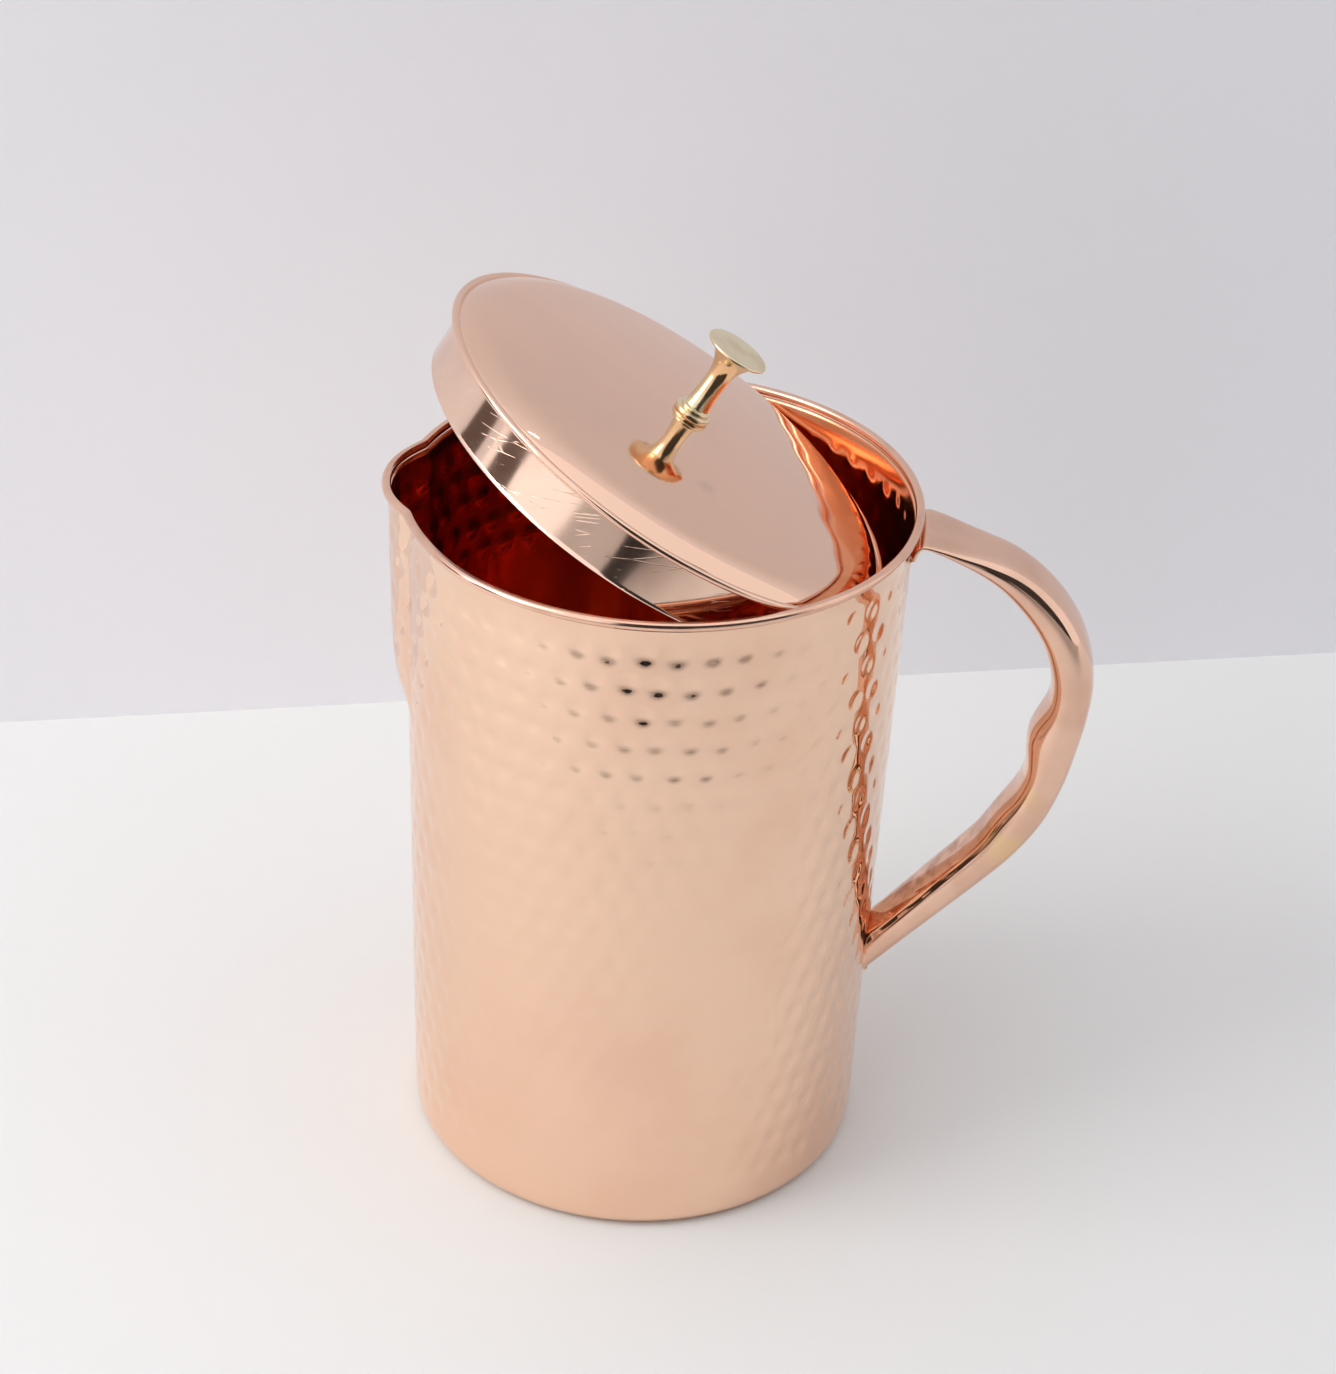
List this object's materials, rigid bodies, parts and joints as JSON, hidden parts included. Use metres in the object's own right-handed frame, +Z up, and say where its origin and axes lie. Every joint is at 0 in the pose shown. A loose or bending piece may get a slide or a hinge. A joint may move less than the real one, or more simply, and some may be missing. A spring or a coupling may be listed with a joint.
{
  "type": "water jug",
  "caption": "Tall hammered copper jug with a pulled spout, hollow finger-grip handle and a domed lid with a brass knob, lid leaning in the mouth",
  "frame": {"origin": "middle of the base, on the surface the jug stands on", "axes": "+Z up along the jug's axis, +X towards the handle, -X towards the spout"},
  "size_m": [0.1733, 0.1256, 0.2249],
  "materials": {
    "hammered_copper": "polished copper sheet with round hammer marks, darker and redder inside",
    "polished_copper": "smooth polished copper with faint handling marks",
    "plain_copper": "plain copper sheet, duller than the wall",
    "lid_copper": "smooth polished copper with fine scratches on the skirt",
    "braze": "thin brazing metal, cleaned and polished over",
    "brass": "turned and polished pale brass",
    "steel": "plain steel"
  },
  "bodies": {
    "jug": {"body_shell": "hammered_copper", "rim_bead": "polished_copper", "rim_wire": "steel", "base_plate": "plain_copper", "handle_tube": "polished_copper", "handle_braze": "braze"},
    "lid": {"lid_top": "lid_copper", "lid_skirt": "lid_copper", "knob": "brass", "knob_washer": "steel", "knob_screw": "brass"}
  },
  "joints": [
    {"name": "lid_tilt", "type": "hinge", "parent": "jug", "child": "lid", "pos_m": [0.02162, 0.00381, 0.18304], "axis": [0.1736, -0.9848, 0], "range_deg": [0, 31.3]}
  ]
}
